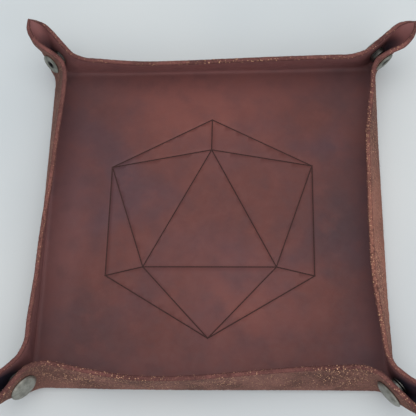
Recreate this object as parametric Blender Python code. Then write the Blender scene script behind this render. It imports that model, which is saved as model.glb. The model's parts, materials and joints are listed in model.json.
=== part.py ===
# Leather dice tray: one square hide whose four corners are pinched and held by press studs.
# The hide is modelled as the panels between its bends, so that it can open flat.
# The press studs are real assemblies: cap, socket, ring spring, stud and eyelet.
# Frame: metres, +Z up, origin under the middle of the floor, front wall towards -Y.

import math

import bmesh
import bpy
import numpy as np
from mathutils import Matrix, Vector

mm = 0.001

# Hide
hide_side = 228.6 * mm
wall_height = 25.4 * mm
leather = 2.4 * mm
wall_lean_share = 0.315
panel_gap = 0.4 * mm
ear_gap = 1.1 * mm
open_gap = 2.0 * mm
fold_gap = 0.8 * mm
ear_foot_gap = 1.2 * mm

# Roundness of the formed bends
base_bend = 6.0 * mm
ear_bend = 3.6 * mm
corner_bend = 4.0 * mm
corner_fade = 6.0 * mm
bend_soft = 2.0 * mm
fold_ease_share = 0.5

# Flare of the pinched tips, which starts just inside the cap's edge
tip_flare = 1.7 * mm
flare_tuck = 1.5 * mm
flare_length = 9.0 * mm

# How far each wall's rim bows outward, and how much the bow is drawn to one side
wall_bows = {
    "front": (5.5 * mm, -1.9 * mm),
    "back": (-0.8 * mm, 0.6 * mm),
    "left": (0.6 * mm, -1.6 * mm),
    "right": (-1.0 * mm, 0.4 * mm),
}
bow_rise_power = 1.2

# The hide is formed by hand, so no pinched corner sits quite evenly. Each one is turned in degrees about its
# own outward, sideways and upward directions, and the turn fades into the walls
corner_turns = {
    "front_left": (-9.1, 1.1, 4.1),
    "front_right": (0.2, 1.6, 5.2),
    "back_left": (9.7, 9.9, -2.5),
    "back_right": (-7.4, 1.5, -4.9),
}
turn_rise = 7.5 * mm
turn_reach = 45.0 * mm

# How far the bend between a wall and its ear slides out along the ear: on the cap's side, on the stud's side
crease_slides = {
    "front_left": (1.5 * mm, 0.7 * mm),
    "front_right": (1.3 * mm, 2.6 * mm),
    "back_left": (3.0 * mm, 3.8 * mm),
    "back_right": (2.4 * mm, 3.9 * mm),
}
slide_reach = 12.0 * mm

# How far each tip leans towards the cap's side, and how far it is drawn in
tip_leans = {
    "front_left": (0.4 * mm, -0.9 * mm),
    "front_right": (-2.7 * mm, -4.2 * mm),
    "back_left": (-1.2 * mm, -0.6 * mm),
    "back_right": (-1.6 * mm, -0.2 * mm),
}

# Press stud, placed by its distance up the fold and by its socket's reach into the fold's round
stud_up_fold = 10.25 * mm
socket_tuck = 0.7 * mm
seat_gap = 0.3 * mm
cap_radius = 7.25 * mm
cap_dome = 1.5 * mm
cap_rim = 0.45 * mm
post_radius = 1.95 * mm
post_end_radius = 2.5 * mm
post_end_height = 0.25 * mm
socket_radius = 4.6 * mm
socket_height = 2.6 * mm
socket_plate = 0.6 * mm
socket_lip = 0.2 * mm
mouth_radius = 2.9 * mm
groove_radius = 3.6 * mm
groove_height = 1.0 * mm
spring_wire = 0.25 * mm
spring_split = 30.0
stud_flange_radius = 4.4 * mm
stud_flange_height = 0.7 * mm
stud_head_radius = 2.45 * mm
stud_neck_radius = 2.2 * mm
stud_head_height = 0.55 * mm
stud_head_top_radius = 1.9 * mm
stud_top_wall = 0.3 * mm
barrel_wall = 0.45 * mm
eyelet_radius = 5.7 * mm
eyelet_height = 0.8 * mm
hole_clearance = 0.3 * mm

# Engraved figure on the floor: a twenty-sided solid seen face on
figure_shift_x = -0.2 * mm
figure_shift_y = -1.4 * mm
figure_turn = -0.2
figure_half_width = 53.7 * mm
figure_shoulder = 30.3 * mm
figure_top = 58.2 * mm
figure_bottom = -62.5 * mm
figure_inner_top = 40.2 * mm
figure_inner_base = -25.6 * mm
figure_inner_half_width = 34.4 * mm
groove_width = 0.6 * mm
groove_depth = 0.35 * mm

# Fineness of the meshes
turned_sides = 20
hole_sides = 16
wire_sides = 6
wire_steps = 16
bend_pairs = 18
golden_angle = math.pi * (3 - math.sqrt(5))
slope_step = 0.28 * mm
sharp_edge_angle = 40.0
dome_steps = 4
floor_edge_shares = (0.0, 0.22, 0.45, 0.7, 1.0, 1.35)
floor_field_shares = (0.62, 0.3)
wall_rise_shares = (0.0, 0.035, 0.075, 0.12, 0.18, 0.45, 0.72, 1.0)
wall_run_shares = (1.0, 0.983, 0.965, 0.944, 0.915, 0.82, 0.66, 0.49, 0.33, 0.16)
ear_rise_shares = (0.0, 0.05, 0.12, 0.2, 0.29, 0.39, 0.51, 0.64, 0.78, 0.9, 1.0)
ear_run_shares = (0.0, 0.06, 0.12, 0.19, 0.27, 0.35, 0.5, 0.66, 0.78, 0.89, 1.0)

# Places worked out from the sizes above
half_base = hide_side / 2 - wall_height
stud_stack = socket_height + stud_flange_height + 3 * seat_gap
fold_radius = (stud_stack + leather) / 2
crease_start = math.sqrt(2) * fold_radius
wall_turn = math.acos(-wall_lean_share)
crease_angle = math.atan2(1.0, wall_lean_share)
ear_tilt = math.atan2(math.sqrt(2) * wall_lean_share, math.sin(wall_turn)) - math.atan(wall_lean_share)
ear_out = crease_start * math.cos(ear_tilt) - fold_radius
ear_up = crease_start * math.sin(ear_tilt)
fold_rise = math.pi / 4 + ear_tilt
fold_foot = ear_up * math.cos(fold_rise) - ear_out * math.sin(fold_rise)
fold_along = ear_out * math.cos(fold_rise) + ear_up * math.sin(fold_rise)
stud_from_fold = fold_radius * math.pi / 2 + socket_radius - socket_tuck
stud_across = (stud_from_fold + stud_up_fold) / math.sqrt(2)
stud_along = (stud_from_fold - stud_up_fold) / math.sqrt(2)
flare_start = stud_up_fold + cap_radius - flare_tuck
flare_end = flare_start + flare_length
barrel_radius = stud_neck_radius - barrel_wall - hole_clearance

corners = {
    "front_left": (-1, -1),
    "front_right": (1, -1),
    "back_left": (-1, 1),
    "back_right": (1, 1),
}
walls = {
    "front": (0, -1),
    "back": (0, 1),
    "left": (-1, 0),
    "right": (1, 0),
}


def ease(value):
    value = np.clip(value, 0.0, 1.0)
    return value * value * (3 - 2 * value)


def crease_at(across):
    return crease_start + wall_lean_share * across


def wall_bow(side, along, across):
    bow, sway = wall_bows[side]
    reach = half_base - crease_at(across)
    share = np.clip(along / reach, -1.0, 1.0)
    profile = bow * np.cos(share * math.pi / 2) + sway * np.sin(share * math.pi)
    return profile * np.clip(across / wall_height, 0.0, None) ** bow_rise_power


def ear_place(along, across):
    # Outward, sideways and upward place of an ear half, from the corner of the floor
    from_fold = (along + across) / math.sqrt(2)
    up_fold = (across - along) / math.sqrt(2)
    radius = fold_radius + tip_flare * ease((up_fold - flare_start) / (flare_end - flare_start))
    turn = np.clip(from_fold / radius, 0.0, math.pi / 2)
    sideways = radius * np.sin(turn)
    tuck = radius * (math.pi / 2 - 1) + radius * (1 - np.cos(turn))
    back = fold_foot + np.where(from_fold < radius * math.pi / 2, tuck, from_fold)
    ahead = up_fold + fold_along
    outward = ahead * math.cos(fold_rise) - back * math.sin(fold_rise)
    upward = ahead * math.sin(fold_rise) + back * math.cos(fold_rise)
    return outward, sideways, upward


def turn_corner(corner, outward, sideways, upward):
    # The corner's own turn; sideways counts towards the cap's side
    lean, pitch, twist = [math.radians(angle) for angle in corner_turns[corner]]
    side = sideways * math.cos(lean) + upward * math.sin(lean)
    rise = upward * math.cos(lean) - sideways * math.sin(lean)
    out = outward * math.cos(pitch) - rise * math.sin(pitch)
    rise = rise * math.cos(pitch) + outward * math.sin(pitch)
    ahead = out * math.cos(twist) - side * math.sin(twist)
    aside = side * math.cos(twist) + out * math.sin(twist)
    return ahead, aside, rise


def corner_point(corner, outward, sideways, upward):
    # Where a place of a pinched corner lies, from its outward, sideways and upward distances
    way_x, way_y = corners[corner]
    out, side, rise = turn_corner(corner, outward, sideways, upward)
    place_x = way_x * (half_base + (out - side) / math.sqrt(2))
    place_y = way_y * (half_base + (out + side) / math.sqrt(2))
    return place_x, place_y, rise + leather / 2


def floor_edge_place(along):
    # The same three directions for the edge of the floor beside its corner
    return -along / math.sqrt(2), along / math.sqrt(2), np.zeros_like(along)


def soft(distance):
    # A distance that starts from nothing without a kink
    return np.sqrt(distance ** 2 + bend_soft ** 2) - bend_soft


def ear_hide(corner, on_side_wall, along, across):
    # Where the hide lies on a pinched corner, as far as the slanted bend
    outward, sideways, upward = ear_place(along, across)
    edge_along = np.clip(along, 0.0, crease_start)
    foot = ear_place(edge_along, np.zeros_like(along))
    edge = floor_edge_place(edge_along)
    fade = 1 - ease(across / corner_fade)
    outward = outward + (edge[0] - foot[0]) * fade
    sideways = sideways + (edge[1] - foot[1]) * fade
    upward = upward + (edge[2] - foot[2]) * fade
    way = np.where(on_side_wall, -1.0, 1.0)

    up_fold = (across - along) / math.sqrt(2)
    tip_share = ease((up_fold - flare_start) / (flare_end - flare_start))
    tip_lean, tip_draw = tip_leans[corner]
    slide = np.where(on_side_wall, crease_slides[corner][1], crease_slides[corner][0])
    slide = slide * ease(1 - (crease_at(across) - along) / slide_reach) * across / wall_height
    outward = outward + math.sqrt(2) * slide - tip_draw * tip_share
    sideways = sideways * way + tip_lean * tip_share

    way_x, way_y = corners[corner]
    even_x = way_x * (half_base + (outward - sideways) / math.sqrt(2))
    even_y = way_y * (half_base + (outward + sideways) / math.sqrt(2))
    even = (even_x, even_y, upward + leather / 2)
    moved = corner_point(corner, outward, sideways, upward)
    share = ease(across / turn_rise)
    return np.stack([here + (there - here) * share for here, there in zip(even, moved)], axis=-1)


def wall_hide(side_x, side_y, swap, along, across, bow):
    # Where the hide lies on a wall that stands even
    inward = wall_lean_share * across - bow
    upward = np.sqrt(np.clip(across ** 2 - inward ** 2, 0.0, None))
    place_x = side_x * (half_base + np.where(swap, -inward, -along))
    place_y = side_y * (half_base + np.where(swap, -along, -inward))
    return np.stack([place_x, place_y, upward + leather / 2], axis=-1)


def sharp_hide(x, y):
    # Where a point of the flat hide lies once it is bent and pinched, before the bends are rounded
    side_x = np.where(x < 0, -1.0, 1.0)
    side_y = np.where(y < 0, -1.0, 1.0)
    swap = np.abs(x) > np.abs(y)
    along = half_base - np.minimum(np.abs(x), np.abs(y))
    across = np.maximum(np.abs(x), np.abs(y)) - half_base
    raised = np.clip(across, 0.0, None)
    run = np.where(swap, y, x)

    bow = np.zeros_like(x)
    for side, (way_x, way_y) in walls.items():
        here = (side_x == way_x) & swap if way_x else (side_y == way_y) & ~swap
        bow = np.where(here, wall_bow(side, run, across), bow)
    wall = wall_hide(side_x, side_y, swap, along, raised, bow)
    crease = crease_at(raised)
    wall_end = wall_hide(side_x, side_y, swap, crease, raised, np.zeros_like(x))
    fade = ease(1 - (along - crease) / turn_reach)[..., None]
    place = np.stack([x, y, np.full_like(x, leather / 2)], axis=-1)
    for corner, (way_x, way_y) in corners.items():
        here = (side_x == way_x) & (side_y == way_y) & (across > 0)
        ear = ear_hide(corner, swap[here], along[here], raised[here])
        ear_end = ear_hide(corner, swap[here], crease[here], raised[here])
        on_wall = (along >= crease)[here][..., None]
        place[here] = np.where(on_wall, wall[here] + (ear_end - wall_end[here]) * fade[here], ear)
    return place


def bend_reach(x, y):
    # How far round each point the hide is averaged: wide on a bend, nothing on a flat
    far_x = np.abs(x)
    far_y = np.abs(y)
    along = half_base - np.minimum(far_x, far_y)
    across = np.maximum(far_x, far_y) - half_base
    from_corner = np.hypot(along, across)
    from_base = np.where(along > 0, np.abs(across), from_corner)
    norm = math.hypot(wall_lean_share, 1.0)
    up_crease = ((along - crease_start) * wall_lean_share + across) / norm
    off_crease = np.abs(along - crease_start - wall_lean_share * across) / norm
    from_crease = np.where(up_crease > 0, off_crease, np.hypot(along - crease_start, across))
    reach = np.maximum(base_bend - soft(from_base) / 2, ear_bend - soft(from_crease) / 2)
    reach = np.maximum(reach, corner_bend - soft(from_corner) / 2)
    from_fold = (along + across) / math.sqrt(2)
    up_fold = (across - along) / math.sqrt(2)
    limit = np.maximum(fold_ease_share * from_fold, corner_bend - up_fold / 2)
    return np.clip(np.minimum(reach, limit), 0.0, None)


def rounded_hide(x, y):
    reach = bend_reach(x, y)
    total = 0.0
    for pair in range(bend_pairs):
        radius = reach * math.sqrt((pair + 0.5) / bend_pairs)
        angle = golden_angle * pair
        off_x = radius * math.cos(angle)
        off_y = radius * math.sin(angle)
        total = total + sharp_hide(x + off_x, y + off_y) + sharp_hide(x - off_x, y - off_y)
    return total / (2 * bend_pairs)


def hide_faces(x, y):
    # The grain face and the flesh face of the hide at the given places of the flat sheet
    middle = rounded_hide(x, y)
    right = rounded_hide(x + slope_step, y) - rounded_hide(x - slope_step, y)
    back = rounded_hide(x, y + slope_step) - rounded_hide(x, y - slope_step)
    normal = np.cross(right, back)
    normal /= np.linalg.norm(normal, axis=-1, keepdims=True)
    return middle + normal * leather / 2, middle - normal * leather / 2


def make_material(name, colour, roughness, metallic):
    material = bpy.data.materials.new(name)
    material.use_nodes = True
    shader = material.node_tree.nodes["Principled BSDF"]
    shader.inputs["Base Color"].default_value = (*colour, 1.0)
    shader.inputs["Roughness"].default_value = roughness
    shader.inputs["Metallic"].default_value = metallic
    return material


def clear_scene():
    for thing in list(bpy.data.objects):
        bpy.data.objects.remove(thing, do_unlink=True)


def add_hinge(name, point, axis, parent):
    # An empty on a bend line, with its own X along the bend
    empty = bpy.data.objects.new(name, None)
    empty.empty_display_size = leather
    bpy.context.collection.objects.link(empty)
    turn = Vector(axis).to_track_quat("X", "Z").to_matrix().to_4x4()
    place = Matrix.Translation(Vector(point)) @ turn
    if parent is not None:
        empty.parent = parent
        empty.matrix_parent_inverse = parent.matrix_world.inverted()
    empty.matrix_world = place
    bpy.context.view_layer.update()
    return empty


def add_mesh_object(name, builder, material, place, parent):
    bmesh.ops.recalc_face_normals(builder, faces=builder.faces)
    mesh = bpy.data.meshes.new(name)
    builder.to_mesh(mesh)
    builder.free()
    mesh.materials.append(material)
    mesh.shade_smooth()
    mesh.set_sharp_from_angle(angle=math.radians(sharp_edge_angle))
    piece = bpy.data.objects.new(name, mesh)
    bpy.context.collection.objects.link(piece)
    if parent is not None:
        piece.parent = parent
        piece.matrix_parent_inverse = parent.matrix_world.inverted()
    piece.matrix_world = place
    bpy.context.view_layer.update()
    return piece


def add_panel(name, x, y, material, pivot, parent):
    # A slab of hide over a grid of places on the flat sheet
    rows, columns = x.shape
    grain, flesh = hide_faces(x, y)
    builder = bmesh.new()
    sheets = []
    for face in (grain, flesh):
        points = face.reshape(-1, 3) - np.array(pivot)
        verts = [builder.verts.new(point) for point in points]
        sheets.append([verts[row * columns:(row + 1) * columns] for row in range(rows)])
    for sheet in sheets:
        for row in range(rows - 1):
            for column in range(columns - 1):
                add_quad(builder, sheet, row, column)
    rim = [(0, column) for column in range(columns)]
    rim += [(row, columns - 1) for row in range(1, rows)]
    rim += [(rows - 1, column) for column in range(columns - 2, -1, -1)]
    rim += [(row, 0) for row in range(rows - 2, 0, -1)]
    for here, there in zip(rim, rim[1:] + rim[:1]):
        corners_here = [sheets[0][here[0]][here[1]], sheets[0][there[0]][there[1]]]
        corners_there = [sheets[1][there[0]][there[1]], sheets[1][here[0]][here[1]]]
        builder.faces.new(corners_here + corners_there)
    return add_mesh_object(name, builder, material, Matrix.Translation(Vector(pivot)), parent)


def add_quad(builder, sheet, row, column):
    a = sheet[row][column]
    b = sheet[row][column + 1]
    c = sheet[row + 1][column + 1]
    d = sheet[row + 1][column]
    builder.faces.new((a, b, c))
    builder.faces.new((a, c, d))


def turned(profile, sides):
    # A solid of revolution about Z; the profile runs from (radius, height) to (radius, height) and closes
    builder = bmesh.new()
    rings = []
    for radius, height in profile:
        if radius == 0:
            rings.append([builder.verts.new((0.0, 0.0, height))])
            continue
        angles = [math.tau * side / sides for side in range(sides)]
        points = [(radius * math.cos(angle), radius * math.sin(angle), height) for angle in angles]
        rings.append([builder.verts.new(point) for point in points])
    for ring, above in zip(rings, rings[1:] + rings[:1]):
        join_rings(builder, ring, above, sides)
    return builder


def join_rings(builder, ring, above, sides):
    if len(ring) == 1 and len(above) == 1:
        return
    for side in range(sides):
        after = (side + 1) % sides
        if len(ring) == 1:
            builder.faces.new((ring[0], above[side], above[after]))
        elif len(above) == 1:
            builder.faces.new((ring[side], above[0], ring[after]))
        else:
            builder.faces.new((ring[side], above[side], above[after], ring[after]))


def arc_shares(count):
    return [math.sin(math.pi / 2 * step / count) for step in range(count + 1)]


def cap_profile(levels):
    seat = levels["cap_seat"]
    top = seat + cap_rim + cap_dome
    dome = []
    for share in arc_shares(dome_steps)[1:-1]:
        rise = cap_dome * math.sqrt(1 - share ** 2)
        dome.append((cap_radius * share, seat + cap_rim + rise))
    rim = [(cap_radius, seat + cap_rim), (cap_radius - cap_rim / 2, seat)]
    neck_end = levels["post_end_top"]
    post = [(post_radius, seat), (post_radius, neck_end), (post_end_radius, neck_end)]
    foot = [(post_end_radius, levels["post_end"]), (0, levels["post_end"])]
    return [(0, top)] + dome + rim + post + foot


def socket_profile(levels):
    base = levels["socket_base"]
    mouth = levels["socket_mouth"]
    plate = base - socket_plate
    groove_low = mouth + socket_lip
    groove_high = groove_low + groove_height
    bore = post_radius + hole_clearance
    outside = [(socket_radius - socket_lip, mouth), (socket_radius, groove_low), (socket_radius, base)]
    inside = [(bore, base), (bore, plate), (mouth_radius, plate), (mouth_radius, groove_high)]
    groove = [(groove_radius, groove_high), (groove_radius, groove_low), (mouth_radius, groove_low)]
    return outside + inside + groove + [(mouth_radius, mouth)]


def stud_profile(levels):
    base = levels["stud_base"]
    flange = base + stud_flange_height
    top = levels["stud_top"]
    shoulder = top - stud_head_height
    bore = barrel_radius + hole_clearance
    crown = top - stud_top_wall
    outside = [(stud_flange_radius, base), (stud_flange_radius, flange), (stud_neck_radius, flange)]
    neck = [(stud_neck_radius, shoulder), (stud_head_radius, (shoulder + top) / 2)]
    head = [(stud_head_top_radius, top), (0, top), (0, crown), (bore, crown), (bore, base)]
    return outside + neck + head


def eyelet_profile(levels):
    seat = levels["eyelet_seat"]
    outer = seat - eyelet_height
    tip = levels["stud_top"] - stud_top_wall - hole_clearance
    bore = barrel_radius - barrel_wall
    flange = [(eyelet_radius, seat), (eyelet_radius, seat - eyelet_height / 2)]
    face = [(eyelet_radius - eyelet_height, outer), (barrel_radius + barrel_wall, outer)]
    inside = [(bore, seat - eyelet_height / 2), (bore, tip), (barrel_radius, tip), (barrel_radius, seat)]
    return flange + face + inside


def stud_levels():
    # Heights along the press stud's axis; zero is the middle of the pinch, plus is the cap's side
    half = stud_stack / 2
    skin = half + leather
    base = half - seat_gap
    plate = base - socket_plate
    post_end_top = plate - seat_gap
    post_end = post_end_top - post_end_height
    return {
        "cap_seat": skin + seat_gap,
        "post_end_top": post_end_top,
        "post_end": post_end,
        "socket_base": base,
        "socket_mouth": base - socket_height,
        "stud_base": seat_gap - half,
        "stud_top": post_end - seat_gap,
        "eyelet_seat": -skin - seat_gap,
    }


def spring_ring(levels):
    # A split ring of round wire that lies in the socket's groove
    centre_height = levels["socket_mouth"] + socket_lip + groove_height / 2
    ring_radius = groove_radius - hole_clearance - spring_wire
    gap = math.radians(spring_split)
    builder = bmesh.new()
    loops = []
    for step in range(wire_steps + 1):
        turn = gap / 2 + (math.tau - gap) * step / wire_steps
        loop = []
        for side in range(wire_sides):
            angle = math.tau * side / wire_sides
            radius = ring_radius + spring_wire * math.cos(angle)
            height = centre_height + spring_wire * math.sin(angle)
            loop.append(builder.verts.new((radius * math.cos(turn), radius * math.sin(turn), height)))
        loops.append(loop)
    for loop, after in zip(loops, loops[1:]):
        join_rings(builder, loop, after, wire_sides)
    builder.faces.new(loops[0])
    builder.faces.new(loops[-1])
    return builder


def stud_place(corner):
    # The press stud's frame: its Z points sideways out of the front or back wall's ear
    middle = ear_place(np.array(stud_along), np.array(stud_across))
    outward, sideways, upward = [float(value) for value in middle]
    centre = Vector(corner_point(corner, outward, 0.0, upward))
    axis = (Vector(corner_point(corner, outward, sideways, upward)) - centre).normalized()
    turn = axis.to_track_quat("Z", "Y").to_matrix().to_4x4()
    return Matrix.Translation(centre) @ turn


def wall_hinge(way_x, way_y):
    point = (way_x * half_base, way_y * half_base, leather / 2)
    axis = (-way_y, way_x, 0.0)
    return point, axis


def ear_hinge(corner):
    # The slanted bend between the front or back wall and its ear half, from its foot towards the rim
    heights = np.array([0.0, turn_rise, wall_height])
    foot, low, rim = ear_hide(corner, False, crease_at(heights), heights)
    return tuple(foot), tuple(rim - low)


def fold_hinge(corner):
    # The fold between the two ear halves, in the corner's middle plane
    outward = -fold_foot * math.sin(fold_rise)
    upward = fold_foot * math.cos(fold_rise)
    foot = corner_point(corner, outward, 0.0, upward)
    ahead = corner_point(corner, outward + math.cos(fold_rise), 0.0, upward + math.sin(fold_rise))
    return foot, tuple(there - here for here, there in zip(foot, ahead))


def floor_grid():
    edge = half_base - panel_gap / 2
    half = [edge - share * base_bend for share in floor_edge_shares]
    half += [edge * share for share in floor_field_shares]
    line = [-place for place in half] + [0.0] + half[::-1]
    return np.meshgrid(np.array(line), np.array(line), indexing="xy")


def crease_gap(on_side_wall):
    # Half the gap beside a slanted bend, measured along the wall
    gap = open_gap if on_side_wall else ear_gap
    return gap / (2 * math.sin(crease_angle))


def wall_grid(way_x, way_y):
    start = panel_gap / 2
    across = np.array([start + (wall_height - start) * share for share in wall_rise_shares])
    line = np.array([-share for share in wall_run_shares] + [0.0] + list(wall_run_shares[::-1]))
    reach = half_base - crease_at(across) - crease_gap(way_x != 0)
    run = line[None, :] * reach[:, None]
    out = np.repeat((half_base + across)[:, None], len(line), axis=1)
    if way_x:
        return way_x * out, run
    return run, way_y * out


def ear_grid(way_x, way_y, on_side_wall):
    start = ear_foot_gap
    across = np.array([start + (wall_height - start) * share for share in ear_rise_shares])
    shares = np.array(ear_run_shares)
    near_fold = -across + fold_gap / math.sqrt(2)
    near_crease = crease_at(across) - crease_gap(on_side_wall)
    along = near_fold[:, None] + (near_crease - near_fold)[:, None] * shares[None, :]
    across = np.repeat(across[:, None], len(shares), axis=1)
    run = half_base - along
    out = half_base + across
    if on_side_wall:
        return way_x * out, way_y * run
    return way_x * run, way_y * out


def figure_strokes():
    outer = [
        (0.0, figure_top),
        (figure_half_width, figure_shoulder),
        (figure_half_width, -figure_shoulder),
        (0.0, figure_bottom),
        (-figure_half_width, -figure_shoulder),
        (-figure_half_width, figure_shoulder),
    ]
    inner = [
        (0.0, figure_inner_top),
        (figure_inner_half_width, figure_inner_base),
        (-figure_inner_half_width, figure_inner_base),
    ]
    strokes = [(outer[index], outer[(index + 1) % len(outer)]) for index in range(len(outer))]
    strokes += [(inner[index], inner[(index + 1) % len(inner)]) for index in range(len(inner))]
    for index, point in enumerate(inner):
        for turn in (-1, 0, 1):
            strokes.append((point, outer[(2 * index + turn) % len(outer)]))
    return strokes


def add_groove_cutter():
    builder = bmesh.new()
    shift = Vector((figure_shift_x, figure_shift_y, leather))
    aslant = Matrix.Rotation(math.radians(figure_turn), 3, "Z")
    for start, end in figure_strokes():
        start = aslant @ Vector((*start, 0.0)) + shift
        end = aslant @ Vector((*end, 0.0)) + shift
        run = end - start
        turn = Matrix.Rotation(math.atan2(run.y, run.x), 4, "Z")
        size = Matrix.Diagonal((run.length + groove_width, groove_width, 2 * groove_depth, 1.0))
        place = Matrix.Translation((start + end) / 2) @ turn @ size
        bmesh.ops.create_cube(builder, size=1.0, matrix=place)
    leather_material = bpy.data.materials["leather"]
    cutter = add_mesh_object("figure_cutter", builder, leather_material, Matrix.Identity(4), None)
    hide_cutter(cutter)
    return cutter


def hide_cutter(cutter):
    cutter.hide_render = True
    cutter.display_type = "WIRE"


def cut(piece, cutter, overlapping_tool):
    modifier = piece.modifiers.new(cutter.name, "BOOLEAN")
    modifier.operation = "DIFFERENCE"
    modifier.solver = "EXACT"
    modifier.use_self = overlapping_tool
    modifier.object = cutter


def add_hole_cutter(name, place, radius, low, high, parent):
    builder = turned([(radius, low), (radius, high), (0, high), (0, low)], hole_sides)
    cutter = add_mesh_object(name, builder, bpy.data.materials["leather"], place, parent)
    hide_cutter(cutter)
    return cutter


def build_floor(root):
    x, y = floor_grid()
    floor = add_panel("leather_floor", x, y, bpy.data.materials["leather"], (0.0, 0.0, 0.0), root)
    cut(floor, add_groove_cutter(), True)


def build_wall(name, way_x, way_y, root):
    point, axis = wall_hinge(way_x, way_y)
    hinge = add_hinge("hinge_wall_" + name, point, axis, root)
    x, y = wall_grid(way_x, way_y)
    add_panel("leather_wall_" + name, x, y, bpy.data.materials["leather"], point, hinge)
    return hinge


def build_corner(name, way_x, way_y, wall_empty):
    leather_material = bpy.data.materials["leather"]
    metal = bpy.data.materials["snap_metal"]
    dark_metal = bpy.data.materials["snap_dark_metal"]
    levels = stud_levels()
    place = stud_place(name)
    reach = levels["cap_seat"] + leather

    point, axis = ear_hinge(name)
    cap_side = add_hinge("hinge_ear_" + name, point, axis, wall_empty)
    x, y = ear_grid(way_x, way_y, False)
    ear = add_panel("leather_ear_cap_side_" + name, x, y, leather_material, point, cap_side)
    radius = post_radius + hole_clearance
    hole = add_hole_cutter("hole_cap_" + name, place, radius, 0.0, reach, cap_side)
    cut(ear, hole, False)

    point, axis = fold_hinge(name)
    stud_side = add_hinge("hinge_fold_" + name, point, axis, cap_side)
    x, y = ear_grid(way_x, way_y, True)
    ear = add_panel("leather_ear_stud_side_" + name, x, y, leather_material, point, stud_side)
    radius = barrel_radius + hole_clearance
    hole = add_hole_cutter("hole_stud_" + name, place, radius, -reach, 0.0, stud_side)
    cut(ear, hole, False)

    cap = turned(cap_profile(levels), turned_sides)
    add_mesh_object("snap_cap_" + name, cap, metal, place, cap_side)
    socket = turned(socket_profile(levels), turned_sides)
    add_mesh_object("snap_socket_" + name, socket, dark_metal, place, cap_side)
    add_mesh_object("snap_spring_" + name, spring_ring(levels), metal, place, cap_side)
    stud = turned(stud_profile(levels), turned_sides)
    add_mesh_object("snap_stud_" + name, stud, dark_metal, place, stud_side)
    eyelet = turned(eyelet_profile(levels), turned_sides)
    add_mesh_object("snap_eyelet_" + name, eyelet, metal, place, stud_side)


def build_tray():
    clear_scene()
    make_material("leather", (0.156, 0.068, 0.056), 0.55, 0.0)
    make_material("snap_metal", (0.21, 0.21, 0.18), 0.35, 0.9)
    make_material("snap_dark_metal", (0.06, 0.06, 0.06), 0.3, 0.9)
    root = add_hinge("tray_root", (0.0, 0.0, 0.0), (1.0, 0.0, 0.0), None)
    build_floor(root)
    hinges = {name: build_wall(name, way_x, way_y, root) for name, (way_x, way_y) in walls.items()}
    for name, (way_x, way_y) in corners.items():
        build_corner(name, way_x, way_y, hinges["front" if way_y < 0 else "back"])


build_tray()
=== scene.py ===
# Leather dice tray with press stud corners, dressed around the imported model.
# The hide is one sheet: each leather piece is cut from the same bent sheet, so they meet exactly.

import json
import math
import random

import bpy
import numpy as np
from mathutils import Matrix, Vector


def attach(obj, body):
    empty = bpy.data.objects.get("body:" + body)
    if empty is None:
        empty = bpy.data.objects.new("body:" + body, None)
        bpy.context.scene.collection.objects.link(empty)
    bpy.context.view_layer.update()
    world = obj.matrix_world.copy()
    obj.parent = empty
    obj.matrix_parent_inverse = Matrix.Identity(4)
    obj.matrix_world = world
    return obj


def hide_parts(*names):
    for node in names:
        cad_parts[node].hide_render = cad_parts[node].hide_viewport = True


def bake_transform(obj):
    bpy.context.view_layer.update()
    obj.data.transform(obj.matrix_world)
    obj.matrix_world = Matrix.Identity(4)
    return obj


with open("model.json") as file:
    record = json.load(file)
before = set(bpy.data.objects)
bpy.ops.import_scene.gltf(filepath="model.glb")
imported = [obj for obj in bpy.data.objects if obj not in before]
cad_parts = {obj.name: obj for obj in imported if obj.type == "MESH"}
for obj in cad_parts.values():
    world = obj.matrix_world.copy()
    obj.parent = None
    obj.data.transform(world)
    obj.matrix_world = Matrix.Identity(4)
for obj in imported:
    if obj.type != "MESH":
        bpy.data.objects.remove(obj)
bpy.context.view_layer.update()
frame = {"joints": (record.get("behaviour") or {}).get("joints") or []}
mm = 0.001

corners = {"front_left": (-1, -1), "front_right": (1, -1), "back_left": (-1, 1), "back_right": (1, 1)}
walls = {"front": (0, -1), "back": (0, 1), "left": (-1, 0), "right": (1, 0)}


def tone(red, green, blue):
    # A colour written as it looks on screen, from 0 to 255
    shares = [value / 255 for value in (red, green, blue)]
    return tuple(v / 12.92 if v <= 0.04045 else ((v + 0.055) / 1.055) ** 2.4 for v in shares) + (1.0,)


def newObject(name, data):
    made = bpy.data.objects.new(name, data)
    bpy.context.scene.collection.objects.link(made)
    return made


def newMesh(name, points, faces, materials=(), sharpAngle=None):
    mesh = bpy.data.meshes.new(name)
    mesh.from_pydata(points, [], faces)
    for material in materials:
        mesh.materials.append(material)
    if sharpAngle:
        mesh.shade_smooth()
        mesh.set_sharp_from_angle(angle=math.radians(sharpAngle))
    return mesh


# Camera, set by the corners, the press studs and the line figure of the photograph

view = {
    "imageSize": 416,
    "azimuth": 11.28,
    "elevation": 69.32,
    "roll": -10.96,
    "distance": 423.87 * mm,
    "aim": (-1.43 * mm, 5.07 * mm, 2.8 * mm),
    "focalPixels": 804.77,
    "sensorWidth": 36.0,
    "nearClip": 10 * mm,
}


def addCamera():
    azimuth, elevation, roll = (math.radians(view[turn]) for turn in ("azimuth", "elevation", "roll"))
    level = math.cos(elevation)
    back = Vector((math.sin(azimuth) * level, -math.cos(azimuth) * level, math.sin(elevation)))
    side = Vector((math.cos(azimuth), math.sin(azimuth), 0.0))
    top = back.cross(side)
    right = side * math.cos(roll) + top * math.sin(roll)
    up = top * math.cos(roll) - side * math.sin(roll)
    place = Vector(view["aim"]) + back * view["distance"]
    lens = bpy.data.cameras.new("camera")
    lens.sensor_width = view["sensorWidth"]
    lens.lens = view["focalPixels"] / view["imageSize"] * view["sensorWidth"]
    lens.clip_start = view["nearClip"]
    camera = newObject("camera", lens)
    camera.matrix_world = Matrix([*zip(right, up, back, place), (0.0, 0.0, 0.0, 1.0)])
    bpy.context.scene.camera = camera


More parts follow.
